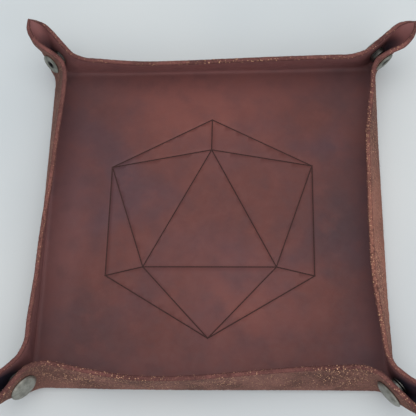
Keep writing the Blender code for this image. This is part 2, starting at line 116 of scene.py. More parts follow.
# The bent hide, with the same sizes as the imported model

hide = {
    "side": 228.6 * mm,
    "wallHeight": 25.4 * mm,
    "thickness": 2.4 * mm,
    "leanShare": 0.315,
    "baseBend": 6.0 * mm,
    "earBend": 4.5 * mm,
    "rimSoften": 6.5 * mm,
    "softenFrom": 12.0 * mm,
    "cornerBend": 4.0 * mm,
    "cornerFade": 6.0 * mm,
    "foldEaseShare": 0.5,
    "studStack": 4.2 * mm,
    "studUpFold": 10.25 * mm,
    "studOffFold": 3.9 * mm,
    "tipFlare": 1.7 * mm,
    "flareStart": 16.0 * mm,
    "flareLength": 9.0 * mm,
    "bowRisePower": 1.2,
    "turnRise": 7.5 * mm,
    "turnReach": 45.0 * mm,
    "slideReach": 12.0 * mm,
    "bendSoft": 2.0 * mm,
    "bendPairs": 18,
    "slopeStep": 0.28 * mm,
}

# How far each rim bows out in its middle, and how far it sways along its run
bows = {
    "front": (5.5 * mm, -1.9 * mm),
    "back": (-0.8 * mm, 0.6 * mm),
    "left": (0.6 * mm, -1.6 * mm),
    "right": (-1.0 * mm, 0.4 * mm),
}
# How far each corner's halves slide outward at the rim: the cap's half, then the stud's
slides = {
    "front_left": (1.5 * mm, 0.7 * mm),
    "front_right": (1.3 * mm, 2.6 * mm),
    "back_left": (3.0 * mm, 3.8 * mm),
    "back_right": (2.4 * mm, 3.9 * mm),
}
# Each corner's lean, pitch and twist, in degrees
turns = {
    "front_left": (-9.1, 1.1, 4.1),
    "front_right": (0.2, 1.6, 5.2),
    "back_left": (9.7, 9.9, -2.5),
    "back_right": (-7.4, 1.5, -4.9),
}
# How far each tip leans sideways, and how far it is drawn in
tipLeans = {
    "front_left": (0.4 * mm, -0.9 * mm),
    "front_right": (-2.7 * mm, -4.2 * mm),
    "back_left": (-1.2 * mm, -0.6 * mm),
    "back_right": (-1.6 * mm, -0.2 * mm),
}

halfBase = hide["side"] / 2 - hide["wallHeight"]
goldenAngle = math.pi * (3 - math.sqrt(5))
thickness = hide["thickness"]
foldRadius = (hide["studStack"] + thickness) / 2
creaseStart = math.sqrt(2) * foldRadius
wallTurn = math.acos(-hide["leanShare"])
earSlope = math.atan2(math.sqrt(2) * hide["leanShare"], math.sin(wallTurn))
earTilt = earSlope - math.atan(hide["leanShare"])
earOut = creaseStart * math.cos(earTilt) - foldRadius
earUp = creaseStart * math.sin(earTilt)
foldRise = math.pi / 4 + earTilt
foldFoot = earUp * math.cos(foldRise) - earOut * math.sin(foldRise)
foldAlong = earOut * math.cos(foldRise) + earUp * math.sin(foldRise)
studFromFold = foldRadius * math.pi / 2 + hide["studOffFold"]
studAcross = (studFromFold + hide["studUpFold"]) / math.sqrt(2)
studAlong = (studFromFold - hide["studUpFold"]) / math.sqrt(2)


def ease(value):
    value = np.clip(value, 0.0, 1.0)
    return value * value * (3 - 2 * value)


def creaseAt(across):
    return creaseStart + hide["leanShare"] * across


def wallBow(side, run, across):
    bow, sway = bows[side]
    share = np.clip(run / (halfBase - creaseAt(across)), -1.0, 1.0)
    profile = bow * np.cos(share * math.pi / 2) + sway * np.sin(share * math.pi)
    return profile * np.clip(across / hide["wallHeight"], 0.0, None) ** hide["bowRisePower"]


def foldPlace(along, across):
    # Distance on the flat hide from the fold's line, and up along it
    return (along + across) / math.sqrt(2), (across - along) / math.sqrt(2)


def tipShare(upFold):
    return ease((upFold - hide["flareStart"]) / hide["flareLength"])


def earPlace(along, across):
    # Outward, sideways and upward place of a pinched corner's half
    fromFold, upFold = foldPlace(along, across)
    radius = foldRadius + hide["tipFlare"] * tipShare(upFold)
    turn = np.clip(fromFold / radius, 0.0, math.pi / 2)
    sideways = radius * np.sin(turn)
    tuck = radius * (math.pi / 2 - 1) + radius * (1 - np.cos(turn))
    back = foldFoot + np.where(fromFold < radius * math.pi / 2, tuck, fromFold)
    ahead = upFold + foldAlong
    outward = ahead * math.cos(foldRise) - back * math.sin(foldRise)
    upward = ahead * math.sin(foldRise) + back * math.cos(foldRise)
    return outward, sideways, upward


def turnCorner(corner, outward, sideways, upward):
    # The corner's own turn; sideways counts towards the cap's side
    lean, pitch, twist = [math.radians(angle) for angle in turns[corner]]
    side = sideways * math.cos(lean) + upward * math.sin(lean)
    rise = upward * math.cos(lean) - sideways * math.sin(lean)
    out = outward * math.cos(pitch) - rise * math.sin(pitch)
    rise = rise * math.cos(pitch) + outward * math.sin(pitch)
    aside = side * math.cos(twist) + out * math.sin(twist)
    return out * math.cos(twist) - side * math.sin(twist), aside, rise


def cornerPlace(corner, outward, sideways, upward):
    # Where outward, sideways and upward distances from a corner lead
    wayX, wayY = corners[corner]
    placeX = wayX * (halfBase + (outward - sideways) / math.sqrt(2))
    placeY = wayY * (halfBase + (outward + sideways) / math.sqrt(2))
    return placeX, placeY, upward + thickness / 2


def cornerPoint(corner, outward, sideways, upward):
    # The same, once the corner has its own turn
    return cornerPlace(corner, *turnCorner(corner, outward, sideways, upward))


def earHide(corner, onSideWall, along, across):
    # Where the hide lies on a pinched corner, as far as the slanted bend
    outward, sideways, upward = earPlace(along, across)
    edgeAlong = np.clip(along, 0.0, creaseStart)
    foot = earPlace(edgeAlong, np.zeros_like(along))
    fade = 1 - ease(across / hide["cornerFade"])
    outward = outward + (-edgeAlong / math.sqrt(2) - foot[0]) * fade
    sideways = sideways + (edgeAlong / math.sqrt(2) - foot[1]) * fade
    upward = upward - foot[2] * fade

    nearTip = tipShare(foldPlace(along, across)[1])
    tipLean, tipDraw = tipLeans[corner]
    slide = np.where(onSideWall, slides[corner][1], slides[corner][0]) * across / hide["wallHeight"]
    slide = slide * ease(1 - (creaseAt(across) - along) / hide["slideReach"])
    outward = outward + math.sqrt(2) * slide - tipDraw * nearTip
    sideways = sideways * np.where(onSideWall, -1.0, 1.0) + tipLean * nearTip

    even = cornerPlace(corner, outward, sideways, upward)
    moved = cornerPoint(corner, outward, sideways, upward)
    share = ease(across / hide["turnRise"])
    return np.stack([here + (there - here) * share for here, there in zip(even, moved)], axis=-1)


def wallHide(sideX, sideY, swap, along, across, bow):
    # Where the hide lies on a wall that stands even
    inward = hide["leanShare"] * across - bow
    upward = np.sqrt(np.clip(across ** 2 - inward ** 2, 0.0, None))
    placeX = sideX * (halfBase + np.where(swap, -inward, -along))
    placeY = sideY * (halfBase + np.where(swap, -along, -inward))
    return np.stack([placeX, placeY, upward + thickness / 2], axis=-1)


def flatPlace(x, y):
    # Distance along a wall from its corner, and distance out from the wall's foot
    near, far = np.minimum(np.abs(x), np.abs(y)), np.maximum(np.abs(x), np.abs(y))
    return halfBase - near, far - halfBase


def sharpHide(x, y):
    # Where a place of the flat hide lies once it is pinched, before its bends are rounded
    sideX = np.where(x < 0, -1.0, 1.0)
    sideY = np.where(y < 0, -1.0, 1.0)
    swap = np.abs(x) > np.abs(y)
    along, across = flatPlace(x, y)
    raised = np.clip(across, 0.0, None)
    run = np.where(swap, y, x)

    bow = np.zeros_like(x)
    for side, (wayX, wayY) in walls.items():
        here = (sideX == wayX) & swap if wayX else (sideY == wayY) & ~swap
        bow = np.where(here, wallBow(side, run, across), bow)
    wall = wallHide(sideX, sideY, swap, along, raised, bow)
    crease = creaseAt(raised)
    wallEnd = wallHide(sideX, sideY, swap, crease, raised, np.zeros_like(x))
    fade = ease(1 - (along - crease) / hide["turnReach"])[..., None]
    place = np.stack([x, y, np.full_like(x, thickness / 2)], axis=-1)
    for corner, (wayX, wayY) in corners.items():
        here = (sideX == wayX) & (sideY == wayY) & (across > 0)
        ear = earHide(corner, swap[here], along[here], raised[here])
        earEnd = earHide(corner, swap[here], crease[here], raised[here])
        onWall = (along >= crease)[here][..., None]
        place[here] = np.where(onWall, wall[here] + (earEnd - wallEnd[here]) * fade[here], ear)
    return place


def soft(distance):
    # A distance that starts from nothing without a kink
    return np.sqrt(distance ** 2 + hide["bendSoft"] ** 2) - hide["bendSoft"]


def bendReach(x, y):
    # How far round each place the hide is averaged: wide on a bend, nothing on a flat
    along, across = flatPlace(x, y)
    fromCorner = np.hypot(along, across)
    fromBase = np.where(along > 0, np.abs(across), fromCorner)
    slant = math.hypot(hide["leanShare"], 1.0)
    upCrease = ((along - creaseStart) * hide["leanShare"] + across) / slant
    offCrease = np.abs(along - creaseStart - hide["leanShare"] * across) / slant
    fromCrease = np.where(upCrease > 0, offCrease, np.hypot(along - creaseStart, across))
    # The bend beside a press stud is crisp at its foot and softer towards the rim
    upWall = (across - hide["softenFrom"]) / (hide["wallHeight"] - hide["softenFrom"])
    earBend = hide["earBend"] + hide["rimSoften"] * ease(upWall)
    reach = np.maximum(hide["baseBend"] - soft(fromBase) / 2, earBend - soft(fromCrease) / 2)
    reach = np.maximum(reach, hide["cornerBend"] - soft(fromCorner) / 2)
    fromFold, upFold = foldPlace(along, across)
    limit = np.maximum(hide["foldEaseShare"] * fromFold, hide["cornerBend"] - upFold / 2)
    return np.clip(np.minimum(reach, limit), 0.0, None)


def bentHide(x, y):
    reach = bendReach(x, y)
    total = 0.0
    for pair in range(hide["bendPairs"]):
        radius = reach * math.sqrt((pair + 0.5) / hide["bendPairs"])
        angle = goldenAngle * pair
        offX = radius * math.cos(angle)
        offY = radius * math.sin(angle)
        total = total + sharpHide(x + offX, y + offY) + sharpHide(x - offX, y - offY)
    return total / (2 * hide["bendPairs"])


def hideMiddle(x, y):
    # The middle of the hide's thickness, and which way its grain side faces
    step = hide["slopeStep"]
    right = bentHide(x + step, y) - bentHide(x - step, y)
    back = bentHide(x, y + step) - bentHide(x, y - step)
    normal = np.cross(right, back)
    return bentHide(x, y), normal / np.linalg.norm(normal, axis=-1, keepdims=True)


scatter = (12.9898, 78.233, 43758.5453)  # Odd factors that turn whole numbers into random ones


def blot(x, y, size, seed):
    # Smooth random heights over the flat hide, from -1 to 1
    u, v = x / size, y / size
    cellU, cellV = np.floor(u), np.floor(v)
    shareU, shareV = ease(u - cellU), ease(v - cellV)

    def knot(stepU, stepV):
        swirl = np.sin((cellU + stepU) * scatter[0] + (cellV + stepV) * scatter[1] + seed) * scatter[2]
        return np.mod(swirl, 1.0) * 2 - 1

    low = knot(0, 0) * (1 - shareU) + knot(1, 0) * shareU
    high = knot(0, 1) * (1 - shareU) + knot(1, 1) * shareU
    return low * (1 - shareV) + high * shareV


# Leather pieces: what is cut, how fine, and how rough the cut edge and the flesh side are

cut = {
    "seam": 3.5 * mm,
    "foldHalf": 6.5 * mm,
    "foldFootShare": 0.5,
    "bendStep": 0.5 * mm,
    "fieldStep": 0.95 * mm,
    "bendHeight": 5.0 * mm,
    "wallStep": 0.8 * mm,
    "floorStep": 3.2 * mm,
    "rimInset": 0.36 * mm,
    "frayDepth": 0.16 * mm,
    "frayGrain": 0.9 * mm,
    "napDepth": 0.07 * mm,
    "napGrain": 1.3 * mm,
    "coarseFray": 0.6,
    "coarseGrain": 4,
    "seeds": (3.0, 7.0, 1.0, 2.0),
    "holeReach": 3 * hide["thickness"],
    "wallFibres": 900,
    "sharpAngle": 52.0,
}

# The rounded cut edge, grain side first: share of the inset, and share of half the thickness
rimShape = (
    (0.38, 0.96), (0.12, 0.82), (0.0, 0.5), (0.0, 0.17),
    (0.0, -0.17), (0.08, -0.5), (0.28, -0.78), (0.6, -0.95),
)
kindGrain, kindEdge, kindFlesh, kindFibre, kindBurnt = range(5)


def steps(start, end, step):
    return np.linspace(start, end, max(2, int(round(abs(end - start) / step)) + 1))


def riseRows():
    top = hide["wallHeight"] - cut["rimInset"]
    low = steps(0.0, cut["bendHeight"], cut["bendStep"])
    return np.concatenate([low, steps(cut["bendHeight"], top, cut["fieldStep"])[1:]])


def cutLoop(rows):
    # One trip round the hide's thickness: up the grain side, over the cut edge, down the flesh side
    rim = np.array([hide["wallHeight"] - share * cut["rimInset"] for share, offset in rimShape])
    rimOffset = np.array([offset for share, offset in rimShape])
    across = np.concatenate([rows, rim, rows[::-1]])
    offset = np.concatenate([np.ones(len(rows)), rimOffset, -np.ones(len(rows))])
    side = len(rows) - 1
    kinds = [kindGrain] * side + [kindEdge] * (len(rim) + 1) + [kindFlesh] * side
    return across, offset, kinds


def roughen(x, y, offset):
    # How far the cut edge frays outward, and how far the nap of the flesh side sinks in
    far = np.maximum(np.abs(x), np.abs(y))
    atRim = ease((far - hide["side"] / 2 + 2 * cut["rimInset"]) / (2 * cut["rimInset"]))
    grain, nap, seeds = cut["frayGrain"], cut["napGrain"], cut["seeds"]
    fray = cut["frayDepth"] * atRim * blot(x + y, x - y + offset * thickness / 2, grain, seeds[0])
    coarse = cut["coarseFray"] * cut["frayDepth"]
    fray += coarse * atRim * blot(x + y, x - y, cut["coarseGrain"] * grain, seeds[1])
    onFlesh = np.where(offset < 0, 1.0, 0.0)
    return fray, cut["napDepth"] * onFlesh * (blot(x, y, nap, seeds[2]) + blot(x, y, nap / 2, seeds[3]))


def makeSlab(name, x, y, offset, kinds, fibres, holes=()):
    # A closed slab of hide; x and y are flat places for each row of the loop and each column
    loops, columns = x.shape
    offset = np.repeat(offset[:, None], columns, axis=1)
    fray, nap = roughen(x, y, offset)
    wide = np.abs(x) > np.abs(y)
    placeX = x + np.where(wide, np.sign(x) * fray, 0.0)
    placeY = y + np.where(wide, 0.0, np.sign(y) * fray)
    middle, normal = hideMiddle(placeX, placeY)
    points = middle + normal * (offset * thickness / 2 - nap)[..., None]

    faces, faceKinds = [], []
    last = loops - 1
    holeCells = findHoles(middle, holes)

    def spot(loop, column):
        return loop * columns + column

    def isHole(loop, column):
        row = loop if kinds[loop] == kindGrain else last - 1 - loop
        return kinds[loop] != kindEdge and (row, column) in holeCells

    for loop in range(last):
        for column in range(columns - 1):
            if not isHole(loop, column):
                faces.append((spot(loop, column), spot(loop, column + 1),
                              spot(loop + 1, column + 1), spot(loop + 1, column)))
                faceKinds.append(kinds[loop])
    for row, column in holeCells:
        across = [(row, column), (row, column + 1), (row + 1, column + 1), (row + 1, column)]
        beside = [(row - 1, column), (row, column + 1), (row + 1, column), (row, column - 1)]
        for edge, neighbour in enumerate(beside):
            if neighbour not in holeCells:
                here, there = across[edge], across[(edge + 1) % 4]
                faces.append((spot(*here), spot(*there),
                              spot(last - there[0], there[1]), spot(last - here[0], here[1])))
                faceKinds.append(kindEdge)
    for column in range(columns - 1):
        faces.append((spot(0, column + 1), spot(0, column), spot(last, column), spot(last, column + 1)))
        faceKinds.append(kindEdge)
    for loop in range(loops // 2 - 1):
        for column, way in ((0, 1), (columns - 1, -1)):
            face = (spot(loop, column), spot(loop + 1, column),
                    spot(last - 1 - loop, column), spot(last - loop, column))
            faces.append(face[::way])
            faceKinds.append(kindEdge)

    first = [Vector(points.reshape(-1, 3)[index]) for index in faces[0]]
    outward = Vector(normal.reshape(-1, 3)[faces[0][0]])
    if (first[1] - first[0]).cross(first[3] - first[0]).dot(outward) < 0:
        faces = [face[::-1] for face in faces]
    places = np.stack([x, y, offset * thickness / 2], axis=-1) / mm
    grids = growFibres(name, (points, places, normal), offset, kinds, fibres, faces, faceKinds)
    return makeHideMesh(name, grids[0], faces, faceKinds, *grids[1:])


def findHoles(middle, holes):
    # Cells of the grid that a press stud's post or barrel passes through
    cells = set()
    half = middle.shape[0] // 2
    centres = (middle[:half - 1, :-1] + middle[1:half, 1:]) / 2
    for centre, axis, radius in holes:
        gap = centres - np.array(centre)
        along = gap @ np.array(axis)
        aside = np.linalg.norm(gap - along[..., None] * np.array(axis), axis=-1)
        near = (aside < radius) & (np.abs(along) < cut["holeReach"])
        cells |= {(int(row), int(column)) for row, column in zip(*np.nonzero(near))}
    return cells


fibre = {
    "length": (0.35 * mm, 1.1 * mm),
    "radius": (0.03 * mm, 0.06 * mm),
    "taper": (1.0, 0.8, 0.35),
    "rootSink": 0.06 * mm,
    "rimShare": 0.45,
    "fleshShare": (3, 4),
    "liftShare": (0.25, 0.8),
    "leadLoops": 3,
    "sides": 3,
}


def growFibres(name, grids, offset, kinds, count, faces, faceKinds):
    # Loose fibres on the cut edge and the upper flesh side, added to points, places and normals
    maker = random.Random(name)
    points = grids[0]
    edgeLoops = [loop for loop, kind in enumerate(kinds) if kind == kindEdge][1:]
    fleshLoops = [loop for loop, kind in enumerate(kinds) if kind == kindFlesh]
    part, whole = fibre["fleshShare"]
    fleshLoops = fleshLoops[:max(whole, len(fleshLoops) * part // whole)]
    sides, base = fibre["sides"], offset.size
    grown = []
    for index in range(count):
        onRim = maker.random() < fibre["rimShare"]
        loop = maker.choice(edgeLoops if onRim else fleshLoops)
        column = maker.randrange(1, offset.shape[1] - 2)
        shares = maker.random(), maker.random()
        root, place, facing = (mixGrid(grid, loop, column, *shares) for grid in grids)
        below = points[max(loop - fibre["leadLoops"], 0), column]
        upRim = Vector(points[loop, column] - below).normalized()
        share = float(offset[loop, column])
        away = (Vector(facing) * share + upRim * (1 - abs(share))).normalized()
        side = Vector((maker.gauss(0, 1), maker.gauss(0, 1), maker.gauss(0, 1)))
        side = (side - away * side.dot(away)).normalized()
        lift = maker.uniform(*fibre["liftShare"])
        length = maker.uniform(*fibre["length"])
        radius = maker.uniform(*fibre["radius"])
        start = Vector(root) - away * fibre["rootSink"]
        knee = start + (away * lift + side * (1 - lift)) * length / 2
        tip = knee + (away * lift / 2 + side) * length / 2
        across = away.cross(side).normalized()
        for centre, thin in zip((start, knee, tip), fibre["taper"]):
            for corner in range(sides):
                angle = math.tau * corner / sides
                point = centre + (across * math.cos(angle) + away * math.sin(angle)) * (radius * thin)
                grown.append((point, place, facing))
        for ring in (base, base + sides):
            for corner in range(sides):
                after = (corner + 1) % sides
                faces.append((ring + corner, ring + after, ring + sides + after, ring + sides + corner))
        faces.append(tuple(reversed(range(base, base + sides))))
        faces.append(tuple(range(base + 2 * sides, base + 3 * sides)))
        faceKinds += [kindFibre] * (2 * sides + 2)
        base += 3 * sides
    return [np.vstack([grid.reshape(-1, 3), np.array(more)]) for grid, more in zip(grids, zip(*grown))]


def mixGrid(grid, loop, column, shareLoop, shareColumn):
    low = grid[loop, column] * (1 - shareColumn) + grid[loop, column + 1] * shareColumn
    high = grid[loop + 1, column] * (1 - shareColumn) + grid[loop + 1, column + 1] * shareColumn
    return low * (1 - shareLoop) + high * shareLoop


def makeHideMesh(name, points, faces, faceKinds, places, grainNormals):
    mesh = newMesh(name, points.tolist(), faces, hideMaterials, cut["sharpAngle"])
    mesh.polygons.foreach_set("material_index", faceKinds)
    keepPlaces(mesh, places)
    shareNormals(mesh, faceKinds, grainNormals)
    return newObject(name, mesh)


def keepPlaces(mesh, places):
    # Each point remembers its place on the flat hide, in millimetres, for the materials
    attribute = mesh.attributes.new("hidePlace", "FLOAT_VECTOR", "POINT")
    attribute.data.foreach_set("vector", np.asarray(places, np.float32).ravel())


def shareNormals(mesh, faceKinds, grainNormals):
    # The grain side is shaded as one sheet, so no seam shows between the pieces
    loopNormals = np.zeros(len(mesh.loops) * 3)
    mesh.corner_normals.foreach_get("vector", loopNormals)
    loopNormals = loopNormals.reshape(-1, 3)
    loopPoints = np.zeros(len(mesh.loops), int)
    mesh.loops.foreach_get("vertex_index", loopPoints)
    sizes = np.zeros(len(mesh.polygons), int)
    mesh.polygons.foreach_get("loop_total", sizes)
    onGrain = np.repeat(np.array(faceKinds) == kindGrain, sizes)
    loopNormals[onGrain] = grainNormals[loopPoints[onGrain]]
    mesh.normals_split_custom_set(loopNormals.tolist())


# Materials

def setInput(tree, node, name, value):
    if isinstance(value, bpy.types.NodeSocket):
        tree.links.new(value, node.inputs[name])
    else:
        node.inputs[name].default_value = value


def addNode(tree, kind, inputs, **settings):
    made = tree.nodes.new(kind)
    for name, value in settings.items():
        setattr(made, name, value)
    for name, value in inputs.items():
        setInput(tree, made, name, value)
    return made


def newMaterial(name):
    material = bpy.data.materials.new(name)
    material.use_nodes = True
    return material, material.node_tree


def fillShader(tree, finish, inputs, height):
    # Sets the finish's plain sockets and the linked ones; a bump is its strength and its depth
    inputs = {**finish["sockets"], **inputs}
    if "bump" in finish:
        strength, depth = finish["bump"]
        relief = {"Strength": strength, "Distance": depth, "Height": height}
        inputs["Normal"] = addNode(tree, "ShaderNodeBump", relief).outputs["Normal"]
    for name, value in inputs.items():
        setInput(tree, tree.nodes["Principled BSDF"], name, value)


def blendTones(tree, share, low, high):
    # A colour mix has its share at input 0 and its colours at 6 and 7
    return addNode(tree, "ShaderNodeMix", {0: share, 6: low, 7: high}, data_type="RGBA").outputs[2]


def combine(tree, kind, *values):
    return addNode(tree, "ShaderNodeMath", dict(enumerate(values)), operation=kind).outputs[0]


def plus(tree, first, second):
    return combine(tree, "ADD", first, second)


def times(tree, first, second):
    return combine(tree, "MULTIPLY", first, second)


def spread(tree, value, low, high, toLow=0.0, toHigh=1.0):
    inputs = {"Value": value, "From Min": low, "From Max": high, "To Min": toLow, "To Max": toHigh}
    made = addNode(tree, "ShaderNodeMapRange", inputs, interpolation_type="SMOOTHSTEP")
    return made.outputs["Result"]


def cloud(tree, place, scale, detail=3.0, roughness=0.5, distortion=0.0):
    inputs = {"Vector": place, "Scale": scale, "Detail": detail}
    inputs.update({"Roughness": roughness, "Distortion": distortion})
    return addNode(tree, "ShaderNodeTexNoise", inputs).outputs["Fac"]


def hidePlace(tree):
    return addNode(tree, "ShaderNodeAttribute", {}, attribute_name="hidePlace").outputs["Vector"]


def ownPlace(tree):
    return addNode(tree, "ShaderNodeTexCoord", {}).outputs["Object"]


def fromAxis(tree, place, x=0.0, y=0.0):
    # Distance from the upright line through x and y
    flat = addNode(tree, "ShaderNodeVectorMath", {0: place, 1: (1.0, 1.0, 0.0)}, operation="MULTIPLY")
    ends = {0: flat.outputs[0], 1: (x, y, 0.0)}
    return addNode(tree, "ShaderNodeVectorMath", ends, operation="DISTANCE").outputs["Value"]


def nearPlace(tree, place, x, y, reach, amount):
    return spread(tree, fromAxis(tree, place, x, y), 0.0, reach, amount, 0.0)


def nearRim(tree, place, start, end, amount=1.0):
    # Grows from one distance off the hide's middle lines to another
    split = addNode(tree, "ShaderNodeSeparateXYZ", {"Vector": place}).outputs
    far = combine(tree, "MAXIMUM", *[combine(tree, "ABSOLUTE", split[axis]) for axis in "XY"])
    return spread(tree, far, start, end, 0.0, amount)


def makeClouds(tree, place, shapes):
    return {name: cloud(tree, place, *shape) for name, shape in shapes.items()}


def layDyes(tree, colour, clouds, layers, dyes):
    # Each layer: its cloud, between which of its values, its least and most strength, and its dye
    for name, low, high, least, most, dye in layers:
        share = spread(tree, clouds[name], low, high, least, most)
        colour = blendTones(tree, share, colour, dyes[dye])
    return colour


patchOutline = {"cloud": (0.05, 3.0), "raggedness": (0.3, 0.7, 0.6, 1.2)}


def dyePatches(tree, place, colour, patches, dyes):
    # Each soft patch: its place on the flat hide in millimetres, its reach, its tone, and how much
    ragged = spread(tree, cloud(tree, place, *patchOutline["cloud"]), *patchOutline["raggedness"])
    for x, y, reach, dye, amount in patches:
        share = times(tree, nearPlace(tree, place, x, y, reach, amount), ragged)
        colour = blendTones(tree, share, colour, dyes[dye])
    return colour


grainTones = {
    "redBrown": tone(106, 64, 60),
    "warm": tone(126, 76, 70),
    "plum": tone(91, 64, 69),
    "dark": tone(76, 59, 64),
    # The next two tones are painted light, to lift the grain where the walls leave it in shade
    "paintedLight": tone(130, 90, 90),
    "haze": tone(144, 100, 99),
    "ear": tone(134, 88, 86),
    # Painted shade, for deep inside the pinched corners
    "paintedShade": tone(38, 36, 48),
    # Scale, detail, roughness and distortion of each cloud
    "clouds": {
        "wander": (0.018, 2.5, 0.5, 0.5),
        "mottle": (0.08, 4.0, 0.55),
        "pores": (3.4, 2.0, 0.5),
        "scuff": (0.3, 4.0, 0.6, 0.4),
    },
    "ground": (("wander", 0.4, 0.7, 0.0, 1.0, "plum"),),
    "flecks": (
        ("mottle", 0.45, 0.7, 0.0, 0.25, "dark"),
        ("mottle", 0.5, 0.28, 0.0, 0.25, "warm"),
        ("pores", 0.55, 0.75, 0.0, 0.2, "dark"),
    ),
    "patches": (
        (16, -48, 54, "warm", 0.8),
        (-6, 76, 66, "warm", 1.2),
        (-24, -8, 50, "warm", 0.2),
        (72, -2, 46, "dark", 0.7),
        (-82, 4, 44, "plum", 0.5),
        (-80, 80, 50, "dark", 0.6),
        (84, 84, 52, "dark", 0.6),
        (-76, -66, 48, "dark", 0.7),
        (86, -76, 46, "plum", 0.6),
        (0, -86, 44, "plum", 0.2),
    ),
    # Painted light: the grain is painted paler towards and up the walls, which stand in shade: from,
    # to, how much, and which tone
    "paintedWallLight": ((60.0, 94.0, 0.55, "paintedLight"), (88.5, 94.0, 0.65, "haze")),
    # Painted light that makes the left wall paler, lighter tips on the back corners, and painted shade
    # deep inside the pinches
    "paintedLightAndShade": (
        (-104, -8, 56, "haze", 0.5),
        (-110, 110, 22, "ear", 0.9),
        (110, 110, 22, "ear", 0.9),
        (-99, 98, 14, "paintedShade", 1.0),
        (99, 98, 14, "paintedShade", 1.0),
        (-100, -100, 25, "paintedShade", 2.0),
        (100, -100, 25, "paintedShade", 2.0),
    ),
    "roughness": (0.3, 0.7, 0.5, 0.66),
    "sockets": {"Specular IOR Level": 0.22},
    "pebbleScale": 0.85,
    "relief": {"pebbles": 0.5, "pores": 0.35, "scuff": 1.2},
    "bump": (0.5, 0.06 * mm),
}


def dyedGrain():
    material, tree = newMaterial("dyedGrain")
    place = hidePlace(tree)
    clouds = makeClouds(tree, place, grainTones["clouds"])
    colour = layDyes(tree, grainTones["redBrown"], clouds, grainTones["ground"], grainTones)
    colour = dyePatches(tree, place, colour, grainTones["patches"], grainTones)
    # Painted light near and up the walls
    for start, end, amount, dye in grainTones["paintedWallLight"]:
        colour = blendTones(tree, nearRim(tree, place, start, end, amount), colour, grainTones[dye])
    # Painted light on the left wall, and painted shade deep inside the pinches
    colour = dyePatches(tree, place, colour, grainTones["paintedLightAndShade"], grainTones)
    colour = layDyes(tree, colour, clouds, grainTones["flecks"], grainTones)
    cells = {"Vector": place, "Scale": grainTones["pebbleScale"]}
    pebbles = addNode(tree, "ShaderNodeTexVoronoi", cells, feature="SMOOTH_F1")
    clouds["pebbles"] = pebbles.outputs["Distance"]
    height = 0.0
    for name, share in grainTones["relief"].items():
        height = plus(tree, height, times(tree, clouds[name], share))
    roughness = spread(tree, clouds["scuff"], *grainTones["roughness"])
    fillShader(tree, grainTones, {"Base Color": colour, "Roughness": roughness}, height)
    return material


fleshTones = {
    "fleshSide": {"body": tone(123, 87, 79), "deep": tone(88, 62, 57), "light": tone(164, 111, 95)},
    "cutEdge": {"body": tone(124, 80, 76), "deep": tone(90, 58, 57), "light": tone(156, 106, 94),
                "line": tone(82, 51, 50)},
    "spark": tone(240, 190, 150),
    "pit": tone(74, 46, 43),
    "clouds": {"wander": (0.06, 4.0, 0.6, 0.5), "nap": (1.5, 5.0, 0.7, 1.2), "herd": (0.11, 3.0)},
    "ground": (("wander", 0.35, 0.68, 0.0, 1.0, "deep"),),
    "flecks": (("nap", 0.5, 0.7, 0.0, 0.6, "light"), ("nap", 0.5, 0.3, 0.0, 0.6, "deep")),
    # Darker borders of the cut edge, by the height over the hide's middle in millimetres
    "borders": (("height", 0.3, 0.9, 0.0, 0.8, "line"), ("height", -0.7, -1.1, 0.0, 0.7, "deep")),
    # Patches: place on the flat hide, reach, tone and how much. The light ones over the right and left
    # walls are painted light on those sides; the deep ones are darker leather round the front caps
    "patches": (
        (104, -20, 84, "light", 0.8),
        (-104, 0, 84, "light", 0.3),
        (-80, -104, 24, "deep", 0.8),
        (82, -104, 24, "deep", 0.5),
    ),
    # Where the raw fibres catch the light: place on the flat hide, and reach
    "herds": (
        (-56, -106, 26), (-26, -104, 20), (8, -106, 14), (62, -106, 22), (110, 44, 44),
        (110, -44, 44), (-112, -20, 60), (10, 112, 40), (-92, 112, 16), (92, 112, 16),
    ),
    "herdAmount": 0.6,
    "strays": (0.42, 0.58, 0.1, 0.5),
    "herdRim": (90.0, 100.0),
    "speckScale": 1.45,
    "sparks": (0.7, 0.85),
    "sparkSize": (0.5, 0.2),
    "pits": (0.62, 0.75, 0.0, 0.7),
    "sparkHeight": 0.5,
    "sockets": {"Roughness": 0.85, "Specular IOR Level": 0.12},
    "bump": (0.9, 0.25 * mm),
}


def rawFlesh(name):
    # Rough leather with bright fibres and pits near the rim; the cut edge has darker borders
    material, tree = newMaterial(name)
    place, tones = hidePlace(tree), fleshTones[name]
    clouds = makeClouds(tree, place, fleshTones["clouds"])
    colour = layDyes(tree, tones["body"], clouds, fleshTones["ground"], tones)
    # Painted light on the side walls, and darker leather round the front caps
    colour = dyePatches(tree, place, colour, fleshTones["patches"], fleshTones["fleshSide"])
    colour = layDyes(tree, colour, clouds, fleshTones["flecks"], tones)
    if "line" in tones:
        clouds["height"] = addNode(tree, "ShaderNodeSeparateXYZ", {"Vector": place}).outputs["Z"]
        colour = layDyes(tree, colour, clouds, fleshTones["borders"], tones)
    specks = {"Vector": place, "Scale": fleshTones["speckScale"]}
    cells = addNode(tree, "ShaderNodeTexVoronoi", specks).outputs
    pick = addNode(tree, "ShaderNodeSeparateColor", {"Color": cells["Color"]}).outputs
    herd = spread(tree, clouds["herd"], *fleshTones["strays"])
    for x, y, reach in fleshTones["herds"]:
        herd = plus(tree, herd, nearPlace(tree, place, x, y, reach, fleshTones["herdAmount"]))
    herd = times(tree, herd, nearRim(tree, place, *fleshTones["herdRim"]))
    pits = times(tree, spread(tree, pick["Green"], *fleshTones["pits"]), herd)
    dots = spread(tree, cells["Distance"], *fleshTones["sparkSize"])
    sparks = times(tree, times(tree, spread(tree, pick["Red"], *fleshTones["sparks"]), dots), herd)
    colour = blendTones(tree, pits, colour, fleshTones["pit"])
    colour = blendTones(tree, sparks, colour, fleshTones["spark"])
    height = plus(tree, clouds["nap"], times(tree, sparks, fleshTones["sparkHeight"]))
    fillShader(tree, fleshTones, {"Base Color": colour}, height)
    return material


